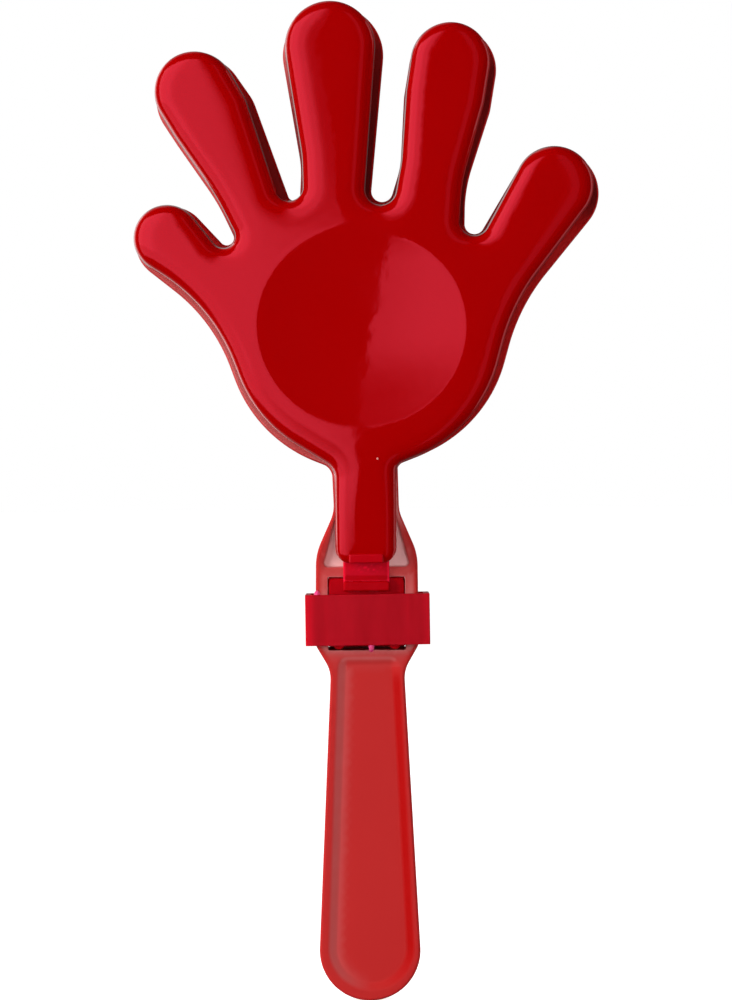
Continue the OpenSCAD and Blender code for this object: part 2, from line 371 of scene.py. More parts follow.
def edge_slope(d, z):
    return np.interp(d / tight(z), _d, np.tan(_phi))


def crown(x, z):
    """Gentle doming and twist of a hand's face."""
    a = -0.47 + 0.006 * softplus(z - 108, 6) + 0.0135 * softplus(z - 175, 6) + 0.36 * (1 - smooth((z - 90) / 26))
    return -DEG * (0.03 * (x * x / 2 + 6 * x) + a * x + 7e-6 * x ** 4 / 4)


# the dish: its slope grows with the radius and dies away over a soft edge
BALL, SOFT_IN, SOFT_OUT = 349.0, 26.6, 31.4
_r = np.linspace(0, 40, 4001)
_s = _r / BALL * (1 - smooth((_r - SOFT_IN) / (SOFT_OUT - SOFT_IN)))
_bowl = np.concatenate([[0], np.cumsum((_s[1:] + _s[:-1]) / 2 * np.diff(_r))])
_bowl = _bowl - _bowl[-1]


def face_height(x, z, inside=None):
    """Height of the face above its nominal plane, without the fall at the edge."""
    r = np.hypot(x - DISH_X, z - DISH_Z)
    s = (z - DISH_Z) / np.maximum(r, 1e-6)
    r = r * (1 + np.where(s > 0, 0.07, 0.035) * s * s)
    return crown(x, z) + np.interp(r, _r, _bowl)


def face_normal(x, z, inside, d=None, g=None):
    e = 0.05
    hx = (face_height(x + e, z, inside) - face_height(x - e, z, inside)) / (2 * e)
    hz = (face_height(x, z + e, inside) - face_height(x, z - e, inside)) / (2 * e)
    if d is not None:
        s = edge_slope(d, z)
        hx, hz = hx - g[:, 0] * s, hz - g[:, 1] * s
    return np.stack([-hx, -np.ones_like(hx), -hz], 1)


def hand_mesh():
    b = Build()
    p, n = belt(hand_line, 0.8, 7.0)
    m = len(p)
    no = np.zeros(m, bool)
    z3 = np.zeros(m)

    def ring2(inset, s, nn, tint=0.0):
        q = p - n * inset
        return b.add(swap(q, -s), nn, tint)

    def tilted(a):
        """Normals turned by a degrees from the face towards the outside."""
        a = np.broadcast_to(a, m) * DEG
        return np.stack([n[:, 0] * np.sin(a), -np.cos(a), n[:, 1] * np.sin(a)], 1)

    # rim lip, outside wall
    back = np.tile((0.0, 1.0, 0.0), (m, 1))
    lip = 0.35
    rings = [ring2(0.9, RIM, back, 1.7), ring2(lip, RIM, back, 1.7)]
    for a in (150, 120):
        rings.append(ring2(lip * (1 - math.sin(a * DEG)), RIM + lip * (1 + math.cos(a * DEG)), tilted(a)))
    rings.append(ring2(0, RIM + lip, tilted(90)))
    # the wall rises with a little draft to where the fall begins, following the face's crown
    outline_h = face_height(p[:, 0], p[:, 1], no)
    wall_top = FACE + edge_fall(0, p[:, 1]) + outline_h
    draft = 90 - math.degrees(math.atan2(DRAFT, 4.0)) - 34 * (1 - smooth((p[:, 1] - 97) / 7))
    for f in (0.12, 0.5, 0.88):
        rings.append(ring2(DRAFT * f, RIM + lip + (wall_top - RIM - lip) * f, tilted(draft)))
    insets = [0, 0.05, 0.12, 0.2, 0.3, 0.42, 0.56, 0.72, 0.9, 1.1, 1.35, 1.65, 2.0, 2.4, 2.85, 3.3]
    for d in insets:
        q = p - n * (DRAFT + d)
        h = FACE + face_height(q[:, 0], q[:, 1], no) + edge_fall(d, q[:, 1])
        nn = face_normal(q[:, 0], q[:, 1], no, np.full(m, d), n)
        rings.append(b.add(swap(q, -h), nn))
    for i in range(len(rings) - 1):
        b.strip(rings[i][::-1], rings[i + 1][::-1])
    # the face, with the dish
    last = p - n * (DRAFT + insets[-1])
    turns = np.linspace(0, 2 * math.pi, 121)[:-1]
    circle = np.stack([np.cos(turns), np.sin(turns)], 1)
    mid = np.array([DISH_X, DISH_Z])
    out_line = Outline(hand_line)
    soft = np.concatenate([mid + circle * r for r in (SOFT_OUT, 30.2, 29.0, 27.8, SOFT_IN)])
    soft = soft[in_polygon(soft, last) & (out_line.depth(soft)[0] > DRAFT + insets[-1] + 0.8)]
    q, t = fill(last, pitch=1.5, extra=[soft])
    free = q[m:]
    d, g = out_line.depth(free)
    d = d - DRAFT
    off = np.zeros(len(free), bool)
    h = FACE + face_height(free[:, 0], free[:, 1], off) + edge_fall(d, free[:, 1])
    ids = np.concatenate([rings[-1], b.add(swap(free, -h), face_normal(free[:, 0], free[:, 1], off, d, g))])
    b.faces(ids[t])
    # inside: rim, inner wall, inner fillet, inner face
    r_in = 1.8
    inner = [rings[0], ring2(WALL - 0.3, RIM, back, 1.7)]
    for a in (120, 150):
        c, s = math.cos(a * DEG), math.sin(a * DEG)
        nn = np.stack([-n[:, 0] * s, np.full(m, -c), -n[:, 1] * s], 1)
        inner.append(ring2(WALL - 0.3 * (1 - math.sin((a - 90) * DEG)), RIM + 0.3 * (1 - math.cos((a - 90) * DEG)), nn, 2.0))
    inward = np.stack([-n[:, 0], np.full(m, 0.05), -n[:, 1]], 1)
    inner.append(ring2(WALL, RIM + 0.4, inward, 2.0))
    low = FACE - FACE_WALL + face_height(p[:, 0], p[:, 1], no) * 0.8 - 0.3
    inner.append(ring2(WALL + DRAFT, low - r_in, inward, 2.0))
    for a in (25, 50, 75, 90):
        c, s = math.cos(a * DEG), math.sin(a * DEG)
        nn = np.stack([-n[:, 0] * c, np.full(m, s), -n[:, 1] * c], 1)
        inner.append(ring2(WALL + DRAFT + r_in * (1 - c), low - r_in * (1 - s), nn, 2.0))
    for i in range(len(inner) - 1):
        b.strip(inner[i], inner[i + 1])
    last = p - n * (WALL + DRAFT + r_in)
    q, t = fill(last, pitch=5.0)
    h = FACE - FACE_WALL - 0.3 + np.concatenate([
        face_height(p[:, 0], p[:, 1], no) * 0.8,
        face_height(q[m:, 0], q[m:, 1], np.zeros(len(q) - m, bool)) * 0.8])
    # the underside of the dish shows as a low round swelling
    rr = np.hypot(q[:, 0] - DISH_X, q[:, 1] - DISH_Z)
    h = h - np.where(rr < DISH_R, 0.6 * (1 - (rr / DISH_R) ** 2), 0)
    more = b.add(swap(q[m:], -h[m:]), np.tile((0, 1.0, 0), (len(q) - m, 1)), 2.0)
    ids = np.concatenate([inner[-1], more])
    b.faces(ids[t[:, ::-1]])
    # raised bar across the end of the stem, painted a lighter red as painted light
    def lift(w, normal=False):
        return w
    pillow(b, rounded_box(-4.75, 4.75, 76.95, 79.45, 0.45), -FACE - 0.35, -FACE + 2.4, 0.42, step=0.4, arc=4, tint=1.0, frame3=lift)
    # a small pip on the face, painted pale pink as a painted highlight
    top = FACE + float(face_height(np.array([3.55]), np.array([105.85]))[0])
    pillow(b, rounded_box(3.27, 3.83, 105.57, 106.13, 0.275), -top - 0.18, -top + 0.4, 0.16, step=0.1, arc=5, tint=-1.0)
    return b


def about(x, y, z, rot):
    t = Matrix.Translation((x, y, z))
    return t @ rot @ t.inverted()


opened = about(0, -HINGE_Y, HINGE_Z, Matrix.Rotation(OPEN * DEG, 4, "X"))
front_pose = about(0, 0, HINGE_Z, Matrix.Rotation(-LEAN * DEG, 4, "Y")) @ opened
back_pose = about(0, 0, HINGE_Z, Matrix.Rotation(LEAN * DEG, 4, "Y")) @ opened

shell = hand_mesh()
front_hand = make("front_hand_shell", shell, front_pose)


def mirrored_in_y(build, matrix):
    """The same build, set by the matrix and then mirrored front to back."""
    out = Build()
    v, n, t = build.arrays()
    m = np.array(matrix)
    v = (v @ m[:3, :3].T + m[:3, 3]) * (1, -1, 1)
    n = (n @ m[:3, :3].T) * (1, -1, 1)
    out.add(v, n, t)
    out.faces([f[::-1] for f in build.f])
    return out


back_hand = make("back_hand_shell", mirrored_in_y(shell, back_pose))

# ---------------------------------------------------------------- the handle

PANEL_DEPTH, SLOPE = 0.8, 3.0


def half_thickness(z):
    t, p = GRIP_T / 2, PLATE_T / 2
    k = (t - p) / (RAMP_HI - RAMP_LO)
    return t - k * (softplus(z - RAMP_LO, 0.5) - softplus(z - RAMP_HI, 0.5))


def pocket_floor(z):
    a, c = (75.0, 3.25), (93.0, 1.45)
    return a[1] - (a[1] - c[1]) / (c[0] - a[0]) * (softplus(z - a[0], 0.3) - softplus(z - c[0], 0.3))


panel_rim = [(c[0], c[1], c[2] + 1.0) for c in grip_panel]
pocket_rim = [(10.7, 76.4, 1.4), (4.9, 97.5, 1.5), (-4.9, 97.5, 1.5), (-10.7, 76.4, 1.4)]
POCKET_WALL = 0.7
panel_line, pocket_line = Outline(panel_rim, 0.25), Outline(pocket_rim, 0.25)
whole_line = Outline(handle_line, 0.25)
ROUND = 0.8


def handle_parts(x, z):
    """Depth inside the panel, the pocket and the outline, for many points."""
    q = np.stack([x, z], 1)
    return panel_line.depth(q)[0], pocket_line.depth(q)[0], whole_line.depth(q)[0]


def handle_height(x, z):
    dp, dk, do = handle_parts(x, z)
    h = half_thickness(z)
    h = h - PANEL_DEPTH * ease(dp / SLOPE)
    low = np.minimum(pocket_floor(z), half_thickness(z))
    h = h + (low - h) * ease(dk / POCKET_WALL) * (z > 70)
    u = np.clip(ROUND - do, 0, ROUND)
    return h - (ROUND - np.sqrt(np.maximum(ROUND ** 2 - u ** 2, 0)))


def handle_normal(x, z):
    e = 0.03
    hx = (handle_height(x + e, z) - handle_height(x - e, z)) / (2 * e)
    hz = (handle_height(x, z + e) - handle_height(x, z - e)) / (2 * e)
    return np.stack([-hx, -np.ones_like(hx), -hz], 1)


def loop_of(line, inset, step):
    p, n = belt(line, step, 12.0)
    return p - n * inset


def handle_mesh():
    b = Build()
    p, n = belt(handle_line, 0.9, 8.0)
    m = len(p)
    rings = []
    # side wall out to the rounded edge, front half
    for a in (90, 72, 54, 36, 18, 0):
        s, c = math.sin(a * DEG), math.cos(a * DEG)
        q = p - n * ROUND * (1 - s)
        y = half_thickness(q[:, 1]) - ROUND * (1 - c)
        rings.append((q, y, np.stack([n[:, 0] * s, np.full(m, -c), n[:, 1] * s], 1)))
    win = np.array([(x * 1.0, z) for x, z in belt(rounded_box(-WIN_X, WIN_X, WIN_LO, WIN_HI, 0.5), 0.7, 18.0)[0]])
    wn = belt(rounded_box(-WIN_X, WIN_X, WIN_LO, WIN_HI, 0.5), 0.7, 18.0)[1]
    nick = 0.25
    hole = win + wn * nick
    lines = []
    for d in (0.02, 0.3, 0.6, 1.0, 1.5, 2.0, 2.5, 2.98):
        lines.append(loop_of(panel_rim, d, 1.0))
    for d in (0.02, 0.2, 0.37, 0.53, 0.69):
        lines.append(loop_of(pocket_rim, d, 0.8))
    outer = rings[-1][0]
    # extra rows where the block thins
    rows = []
    for z in (RAMP_LO, RAMP_HI):
        for dz in (-1.2, -0.6, 0, 0.6, 1.2):
            xs = np.arange(-16, 16.1, 1.4)
            rows.append(np.stack([xs, np.full(len(xs), z + dz)], 1))
    for d in (0.75, 1.25, 1.9):
        rows.append(belt(rounded_box(-WIN_X - d, WIN_X + d, WIN_LO - d, WIN_HI + d, 0.5 + d), 1.0, 18.0)[0])
    rows = np.concatenate(rows)
    ok = in_polygon(rows, outer) & (whole_line.depth(rows)[0] > 1.6)
    near = np.concatenate(lines)
    kd = kdtree.KDTree(len(near))
    for i, w in enumerate(near):
        kd.insert((w[0], w[1], 0), i)
    kd.balance()
    rows = np.array([w for w, o in zip(rows, ok) if o and kd.find((w[0], w[1], 0))[2] > 0.5])
    q, t = fill(outer, [hole], lines, pitch=1.9, clear=0.6, extra=[rows])
    free = q[m:]
    h = handle_height(free[:, 0], free[:, 1])
    nn = handle_normal(free[:, 0], free[:, 1])
    dp, dk, _ = handle_parts(free[:, 0], free[:, 1])
    # painted light and shade: a pale painted sheen in the pocket, round the window and on the walls of the panel that
    # face right or down, and a deeper red painted on the panel walls that face left, down the grip
    fx, fz = free[:, 0], free[:, 1]
    g = panel_line.depth(free)[1]
    wall = np.sin(math.pi * np.clip(dp / SLOPE, 0, 1))
    wide = ease(dp / 1.3) * (1 - ease((dp - 0.9) / 4.6))
    zone = (0.15 * wide * np.maximum(-g[:, 0], 0) + 0.03 * wall * np.maximum(g[:, 1], 0)
            - np.minimum(1.25 * wall, 1) * np.maximum(g[:, 0], 0) * (1 - ease((fz - 43) / 5)))

    def neck_sheen(x, z):
        """Painted sheen: pale towards the top of the neck, more on its right."""
        return np.where(x > 0, 0.45 * ease((z - 84) / 8), 0.3 * ease((z - 90) / 6)) * (1 - ease((z - 103) / 5))

    # painted reflection: the pocket floor is painted pale, a little paler on the right as painted light against the
    # stem's shadow, with a faint painted sheen on the rest of the handle above the window
    zone = np.where(fz > 70, np.maximum(np.maximum(ease(dk / 0.6) * np.where(fx > 0, 1.0, 0.95), 0.07), neck_sheen(fx, fz)), zone)
    # painted sheen round the window: a faint pale haze over the block, paler beside and just above the window, and a
    # pale strip below it
    side, below, above = np.abs(fx) - WIN_X, WIN_LO - fz, fz - WIN_HI
    window_sheen = 0.07 + ease(side) * np.where(fx > 0, 0.07, 0.05 * (1 - ease((side - 0.6) / 2.2)))
    window_sheen = window_sheen + np.where(side > 0, 0.14 * np.exp(-np.maximum(fz - BAND_HI, 0) / 0.9), 0.1 * np.exp(-np.maximum(above, 0) / 0.45))
    window_sheen = np.where(below > 0, 0.02 + 0.26 * np.exp(-np.hypot(np.maximum(side, 0), below) / 0.9), window_sheen)
    zone = np.where((fz > 46) & (fz <= 73), np.maximum(zone, window_sheen), zone)
    # painted highlight: a thin pale line along the top edge of the panel
    zone = zone + 0.13 * np.exp(-((dp - 0.85) / 0.5) ** 2) * ease((g[:, 1] - 0.5) / 0.4) * (fz > 20)

    def hand_light_and_shade(z, gx, d, most=0.8):
        """On the hand: painted light, pale where it faces left; painted shade, deep where it faces right; painted
        shadow, darkest between the fingers.
        """
        shade = (1 + most * ease((z - 166) / 8)) * np.maximum(gx, 0)
        return (0.22 * np.maximum(-gx, 0) - shade) * ease((z - 102) / 6) * (1 - ease((d - 3.5) / 5))

    # above the neck the panel's painted light and shade fades out and the hand's painted light and shade takes over
    depth, out = whole_line.depth(free)
    zone = zone * (1 - ease((fz - 102) / 6)) + hand_light_and_shade(fz, out[:, 0], depth)
    k = len(hole)
    for s in (1, -1):
        flip = np.array((1, s, 1))
        ids = []
        # the rounded edge carries the hand's painted light and shade: full next to the face, half and without the
        # darkest painted shadow on the side wall; the neck's painted sheen only next to the face
        for j, (qq, y, nr) in enumerate(rings):
            ids.append(b.add(swap(qq, -y) * flip, nr * flip, hand_light_and_shade(qq[:, 1], n[:, 0], 0.0, 0.8 if j > 3 else 0.0) * (1 if j > 3 else 0.5)
                             + (neck_sheen(qq[:, 0], qq[:, 1]) if j > 3 else 0)))
        for i in range(len(ids) - 1):
            if s > 0:
                b.strip(ids[i][::-1], ids[i + 1][::-1])
            else:
                b.strip(ids[i], ids[i + 1])
        if s > 0:
            first = ids[0]
        else:
            b.strip(first, ids[0])
        face = np.concatenate([ids[-1], b.add(swap(free, -h) * flip, nn * flip, zone)])
        b.faces(face[t] if s > 0 else face[t[:, ::-1]])
        # eased edge of the window, down to its wall, painted with a faint pale sheen, and a painted shadow where the
        # rounding meets the lower wall
        rim = face[m:m + k]
        prev = rim
        y0 = h[:k]
        lower = np.clip(-wn[:, 1], 0, 1)
        for a in (30, 60, 90):
            c, sn = math.cos(a * DEG), math.sin(a * DEG)
            nw = np.stack([-wn[:, 0] * sn, np.full(k, -c), -wn[:, 1] * sn], 1)
            nxt = b.add(swap(win + wn * nick * (1 - sn), -(y0 - nick * (1 - c))) * flip, nw * flip, 0.3 - (0.9 * lower if a == 90 else 0))
            if s > 0:
                b.strip(prev, nxt)
            else:
                b.strip(prev[::-1], nxt[::-1])
            prev = nxt
        # the lower wall rises to a sill at mid thickness, painted pale as painted light in the band's shadow
        if s > 0:
            sill = b.add(swap(win + np.stack([0 * lower, 0.85 * lower], 1), 0 * y0), np.stack([-wn[:, 0], 0 * y0, -wn[:, 1]], 1), 0.3 + 0.7 * lower)
            b.strip(prev, sill)
        else:
            b.strip(sill, prev)
    return b


handle = make("handle_moulding", handle_mesh())

# ---------------------------------------------------------------- hinge straps


def film_mesh():
    """The bending strip, thinner across its middle, from the foot's rib to inside the stem."""
    b = Build()
    rows = np.linspace(70.9, 78.2, 27)
    half, side = FILM_HALF + 0.05, 0.3
    front, rear, sides = [], [], []
    xs = np.linspace(-half, half, 33)
    prof = []
    for z in rows:
        thin = 0.4 - 0.17 * math.exp(-((z - 73.9) / 1.15) ** 2)
        turn = OPEN * DEG * float(smooth((z - 71.2) / 5.6))
        y, zz = -HINGE_Y, z
        dz = z - HINGE_Z
        prof.append((y - math.sin(turn) * dz, HINGE_Z + math.cos(turn) * dz, thin, turn))
    loop = []
    for j, (y, z, thin, turn) in enumerate(prof):
        ring, nr = [], []
        e = min(side, thin)
        cross = []
        for x in np.linspace(-half + e, half - e, 25):
            cross.append((x, -thin, 0, -1))
        for a in (22.5, 45, 67.5, 90, 112.5, 135, 157.5):
            cross.append((half - e + e * math.sin(a * DEG), -thin * math.cos(a * DEG), math.sin(a * DEG), -math.cos(a * DEG)))
        for x in np.linspace(half - e, -half + e, 25):
            cross.append((x, thin, 0, 1))
        for a in (22.5, 45, 67.5, 90, 112.5, 135, 157.5):
            cross.append((-half + e - e * math.sin(a * DEG), thin * math.cos(a * DEG), -math.sin(a * DEG), math.cos(a * DEG)))
        c, s = math.cos(turn), math.sin(turn)
        lean = -math.sin(LEAN * DEG * float(smooth((z - 71.2) / 5.6))) * (z - HINGE_Z)
        for x, dy, nx, ny in cross:
            ring.append((x + lean, y + dy * c, z + dy * s))
            nr.append((nx, ny * c, ny * s))
        rx = np.array(ring)[:, 0]
        # pale flecks of stress whitening round the fold; a darker band low on the strip, painted shade of the bend;
        # pale pink edges, painted glow of light through the thin edges
        fleck = np.clip((np.sin(2.9 * rx + 1.7 * z) + np.sin(4.3 * rx - 2.9 * z + 1) + np.sin(1.3 * rx + 4.1 * z + 2)) / 1.6 - 0.25, 0, 1)
        tint = 0.3 + 0.7 * fleck * np.exp(-((rx - 0.6) / 3.6) ** 2 - ((z - 74.9) / 1.1) ** 2) - 0.7 * math.exp(-((z - 72.2) / 0.5) ** 2)
        loop.append(b.add(ring, nr, np.where(np.abs(rx) > half - 0.7, 1.0, tint)))
    for i in range(len(loop) - 1):
        b.strip(loop[i], loop[i + 1])
    for r, s in ((loop[0], -1), (loop[-1], 1)):
        b.faces([tuple(r[::-1])] if s < 0 else [tuple(r)])
    return b


def foot_mesh():
    """Plate in the window, hollow behind, with the rib over the band and two round pads."""
    b = Build()
    p, n = belt(rounded_box(-10.55, 10.55, WIN_LO + 1.1, 72.1, 1.4), 0.5, 9.0)
    m = len(p)
    r, wide = 0.45, 0.16
    rings = []
    for k in range(6):
        a = k / 5 * 90 * DEG
        nn = np.stack([n[:, 0] * math.sin(a), np.full(m, -math.cos(a)), n[:, 1] * math.sin(a)], 1)
        rings.append(b.add(swap(p - n * r * (1 - math.sin(a)), -4.4 + r * (1 - math.cos(a))), nn))
    rings.append(b.add(swap(p + n * wide, -0.05), np.stack([n[:, 0], np.full(m, -0.06), n[:, 1]], 1)))
    rings.append(b.add(swap(p + n * wide, -0.05), np.tile((0, 1.0, 0), (m, 1))))
    for i in range(len(rings) - 1):
        b.strip(rings[i], rings[i + 1])
    q, t = fill(p - n * r, pitch=2.5)
    k = m
    ids = np.concatenate([rings[0], b.add(swap(q[k:], -4.4), np.tile((0, -1.0, 0), (len(q) - k, 1)))])
    b.faces(ids[t])
    # rear: rim, inner wall and floor of the tray
    pin, nin = belt(rounded_box(-8.7, 8.7, 53.8, 70.3, 0.6), 0.5, 9.0)
    q, t = fill(p + n * wide, [pin], pitch=2.5)
    rim = np.concatenate([rings[-1], b.add(swap(q[m:], -0.05), np.tile((0, 1.0, 0), (len(q) - m, 1)))])
    b.faces(rim[t[:, ::-1]])
    k = len(pin)
    a0 = b.add(swap(pin, -0.05), np.stack([-nin[:, 0], np.zeros(k), -nin[:, 1]], 1))
    a1 = b.add(swap(pin, -2.6), np.stack([-nin[:, 0], np.zeros(k), -nin[:, 1]], 1))
    b.strip(a0[::-1], a1[::-1])
    q, t = fill(pin, pitch=3.0)
    f = b.add(swap(q, -2.6), np.tile((0, 1.0, 0), (len(q), 1)))
    b.faces(f[t[:, ::-1]])
    pillow(b, rounded_box(-FILM_HALF - 0.1, FILM_HALF + 0.1, 68.45, 71.25, 0.75), -6.65, -3.9, 0.6, step=0.3, arc=6)
    for x0, x1, za, zb in ((-10.74, 10.74, 70.6, 72.34), (-10.74, 10.74, 52.95, 54.1), (-10.72, -8.9, 53.55, 71.7), (8.9, 10.72, 53.55, 71.7)):
        pillow(b, rounded_box(x0, x1, za, zb, 0.5), -3.3, -0.07, 0.08, step=0.5, arc=2)
    for x in (-7.8, 7.8):
        pillow(b, rounded_box(x - 1.75, x + 1.75, 52.3, 55.8, 1.74), -6.98, -3.9, 0.5, step=0.35, arc=4)
    return b


film, foot = film_mesh(), foot_mesh()
same = Matrix.Identity(4)
front_film = make("front_hinge_strip", film)
back_film = make("back_hinge_strip", mirrored_in_y(film, same))
front_foot = make("front_hinge_foot_plate", foot)
back_foot = make("back_hinge_foot_plate", mirrored_in_y(foot, same))

# ---------------------------------------------------------------- locking band


def band_mesh():
    """A square sleeve: outer and inner walls, eased edges, and the moulding's gate stub under it."""
    b = Build()
    h, y = BAND_HALF, BAND_IN + BAND_WALL
    po, no = belt(rounded_box(-h, h, -y, y, 0.35), 0.4, 15.0)
    hi, yi = BAND_HALF - BAND_WALL, BAND_IN
    pi, ni = belt(rounded_box(-hi, hi, -yi, yi, 0.3), 0.8, 15.0)
    e = 0.16
    m, k = len(po), len(pi)

    def flat(p, z):
        return np.stack([p[:, 0], p[:, 1], np.full(len(p), z)], 1)

    ends = []
    for p, n, s in ((po, no, 1), (pi, ni, -1)):
        c = len(p)
        rings = []
        for z, up in ((BAND_LO, -1), (BAND_HI, 1)):
            part = []
            for a in (0, 45, 90):
                sn, cs = math.sin(a * DEG), math.cos(a * DEG)
                part.append(b.add(flat(p - n * s * e * (1 - sn), z - up * e * (1 - cs)),
                                  np.stack([n[:, 0] * s * sn, n[:, 1] * s * sn, np.full(c, up * cs)], 1)))
            rings.append(part)
        low, high = rings
        rows = []
        for f in np.linspace(0, 1, 8)[1:-1]:
            rows.append(b.add(flat(p, BAND_LO + e + (BAND_HI - BAND_LO - 2 * e) * f),
                              np.stack([n[:, 0] * s, n[:, 1] * s, np.zeros(c)], 1)))
        seq = [low[0], low[1], low[2], *rows, high[2], high[1], high[0]]
        for i in range(len(seq) - 1):
            if s > 0:
                b.strip(seq[i], seq[i + 1])
            else:
                b.strip(seq[i][::-1], seq[i + 1][::-1])
        ends.append((low[0], high[0]))
    qo, qi = po - no * e, pi + ni * e
    q, t = fill(qo, [qi], pitch=2.0)
    for j, up in ((0, -1), (1, 1)):
        ids = np.concatenate([ends[0][j], ends[1][j]])
        if len(q) > m + k:
            ids = np.concatenate([ids, b.add(flat(q[m + k:], BAND_LO if up < 0 else BAND_HI), np.tile((0, 0, float(up)), (len(q) - m - k, 1)))])
        b.faces(ids[t] if up > 0 else ids[t[:, ::-1]])
    # painted light: paler ends on the front wall, where nothing lies behind the thin wall, the left end more than the
    # right, and two faint pale lines just outside the window's sides
    for k2 in range(len(b.v)):
        v = b.v[k2]
        b.tint[k2] = np.where(v[:, 1] < -y + 0.5, ease((np.abs(v[:, 0] - 0.2) - 14.2) / 2.6) * np.where(v[:, 0] < 0, 0.55, 0.2)
                             + 0.12 * np.exp(-((np.abs(v[:, 0] + 0.2) - 11.3) / 0.45) ** 2), 0.0)
    # gate stub on the lower edge of the front wall
    turns = np.linspace(0, 2 * math.pi, 25)[:-1]
    prev = None
    for f, r in ((0.0, 0.0001), (0.0, 1.0), (0.35, 0.93), (0.7, 0.8), (0.9, 0.55), (1.0, 0.0001)):
        c = np.stack([0.95 + 0.85 * r * np.cos(turns), -y + 0.72 + 0.6 * r * np.sin(turns), np.full(24, BAND_LO + 0.3 - 2.35 * f)], 1)
        nn = np.stack([np.cos(turns), np.sin(turns), np.full(24, -0.2 - 2.2 * f ** 3)], 1)
        ids = b.add(c, nn, -1.0)
        if prev is not None:
            b.strip(prev[::-1], ids[::-1])
        prev = ids
    # a scrap of flash on the upper edge
    prev = None
    for f, r in ((0.0, 0.0001), (0.0, 1.0), (0.5, 0.85), (0.85, 0.5), (1.0, 0.0001)):
        c = np.stack([-13.95 + 0.95 * r * np.cos(turns), -y + 0.75 + 0.4 * r * np.sin(turns), np.full(24, BAND_HI - 0.2 + 1.5 * f)], 1)
        nn = np.stack([np.cos(turns), np.sin(turns), np.full(24, 0.2 + 2.2 * f ** 3)], 1)
        ids = b.add(c, nn, -1.0)
        if prev is not None:
            b.strip(prev, ids)
        prev = ids
    return b


mid = (BAND_LO + BAND_HI) / 2
band = make("locking_band_sleeve", band_mesh(), Matrix.Translation((BAND_X, 0, 0)) @ about(0, 0, mid, Matrix.Rotation(-BAND_LEAN * DEG, 4, "Y")))

# ---------------------------------------------------------------- materials


def nodes_of(name):
    m = bpy.data.materials.new(name)
    m.use_nodes = True
    t = m.node_tree
    p = next(x for x in t.nodes if x.type == "BSDF_PRINCIPLED")
    return m, t, p


def node(t, kind, **kw):
    x = t.nodes.new(kind)
    for k, v in kw.items():
        if k.startswith("in_"):
            key = k[3:]
            x.inputs[int(key) if key.isdigit() else key.replace("_", " ")].default_value = v
        else:
            setattr(x, k, v)
    return x


def ramp(t, source, stops):
    r = node(t, "ShaderNodeValToRGB")
    el = r.color_ramp.elements
    while len(el) > 1:
        el.remove(el[-1])
    el[0].position, el[0].color = stops[0][0], (*stops[0][1], 1)
    for pos, col in stops[1:]:
        e = el.new(pos)
        e.color = (*col, 1)
    t.links.new(source, r.inputs[0])
    return r


def plastic(name, deep, light, rough, noise_scale, grain, grain_scale, level=0.5, tint=(1, 1, 1), ior=1.5, subsurface=0.0, radius=(1, 0.2, 0.2), stretch=(1, 1, 1)):
    """Moulded plastic: slow drifts of pigment and polish, and a fine surface grain."""
    m, t, p = nodes_of(name)
    co = node(t, "ShaderNodeTexCoord")
    flow = node(t, "ShaderNodeMapping", in_Scale=stretch)
    t.links.new(co.outputs["Object"], flow.inputs["Vector"])
    drift = node(t, "ShaderNodeTexNoise", in_Scale=noise_scale, in_Detail=3.0, in_Roughness=0.55)
    t.links.new(flow.outputs["Vector"], drift.inputs["Vector"])
    col = ramp(t, drift.outputs["Fac"], [(0.32, deep), (0.68, light)])
    t.links.new(col.outputs["Color"], p.inputs["Base Color"])
    polish = node(t, "ShaderNodeTexNoise", in_Scale=noise_scale * 6, in_Detail=4.0, in_Roughness=0.6)
    t.links.new(co.outputs["Object"], polish.inputs["Vector"])
    pr = ramp(t, polish.outputs["Fac"], [(0.3, (rough[0],) * 3), (0.7, (rough[1],) * 3)])
    t.links.new(pr.outputs["Color"], p.inputs["Roughness"])
    fine = node(t, "ShaderNodeTexNoise", in_Scale=grain_scale, in_Detail=2.0, in_Roughness=0.5)
    t.links.new(co.outputs["Object"], fine.inputs["Vector"])
    bump = node(t, "ShaderNodeBump", in_Strength=1.0, in_Distance=grain)
    t.links.new(fine.outputs["Fac"], bump.inputs["Height"])
    t.links.new(bump.outputs["Normal"], p.inputs["Normal"])
    p.inputs["IOR"].default_value = ior
    p.inputs["Specular IOR Level"].default_value = level
    p.inputs["Specular Tint"].default_value = (*tint, 1)
    if subsurface:
        p.inputs["Subsurface Weight"].default_value = subsurface
        p.inputs["Subsurface Radius"].default_value = radius
        p.inputs["Subsurface Scale"].default_value = 0.001
    return m, t, p


gloss, gloss_t, gloss_p = plastic("gloss_red_plastic", (0.425, 0.0002, 0.0004), (0.445, 0.0004, 0.0008), (0.02, 0.045), 14, 1.0e-5, 230,
                                  level=0.8, tint=(1.0, 0.085, 0.155))
satin, satin_t, satin_p = plastic("satin_red_plastic", (0.535, 0.0195, 0.019), (0.56, 0.0215, 0.021), (0.36, 0.44), 18, 9e-6, 2600,
                                  level=0.15, tint=(1, 0.35, 0.35))
strap, strap_t, strap_p = plastic("strap_red_plastic", (0.42, 0.0004, 0.0025), (0.49, 0.0010, 0.006), (0.22, 0.32), 60, 2.5e-5, 420,
                                  level=0.2, tint=(1, 0.05, 0.11), subsurface=0.35, radius=(2.5, 0.1, 0.3))
sleeve, sleeve_t, sleeve_p = plastic("band_red_plastic", (0.365, 0.0012, 0.006), (0.455, 0.0030, 0.0105), (0.30, 0.38), 60, 8e-6, 1500,
                                     level=0.25, tint=(1, 0.12, 0.18), subsurface=0.2, radius=(2.5, 0.1, 0.2), stretch=(3.5, 1, 0.8))


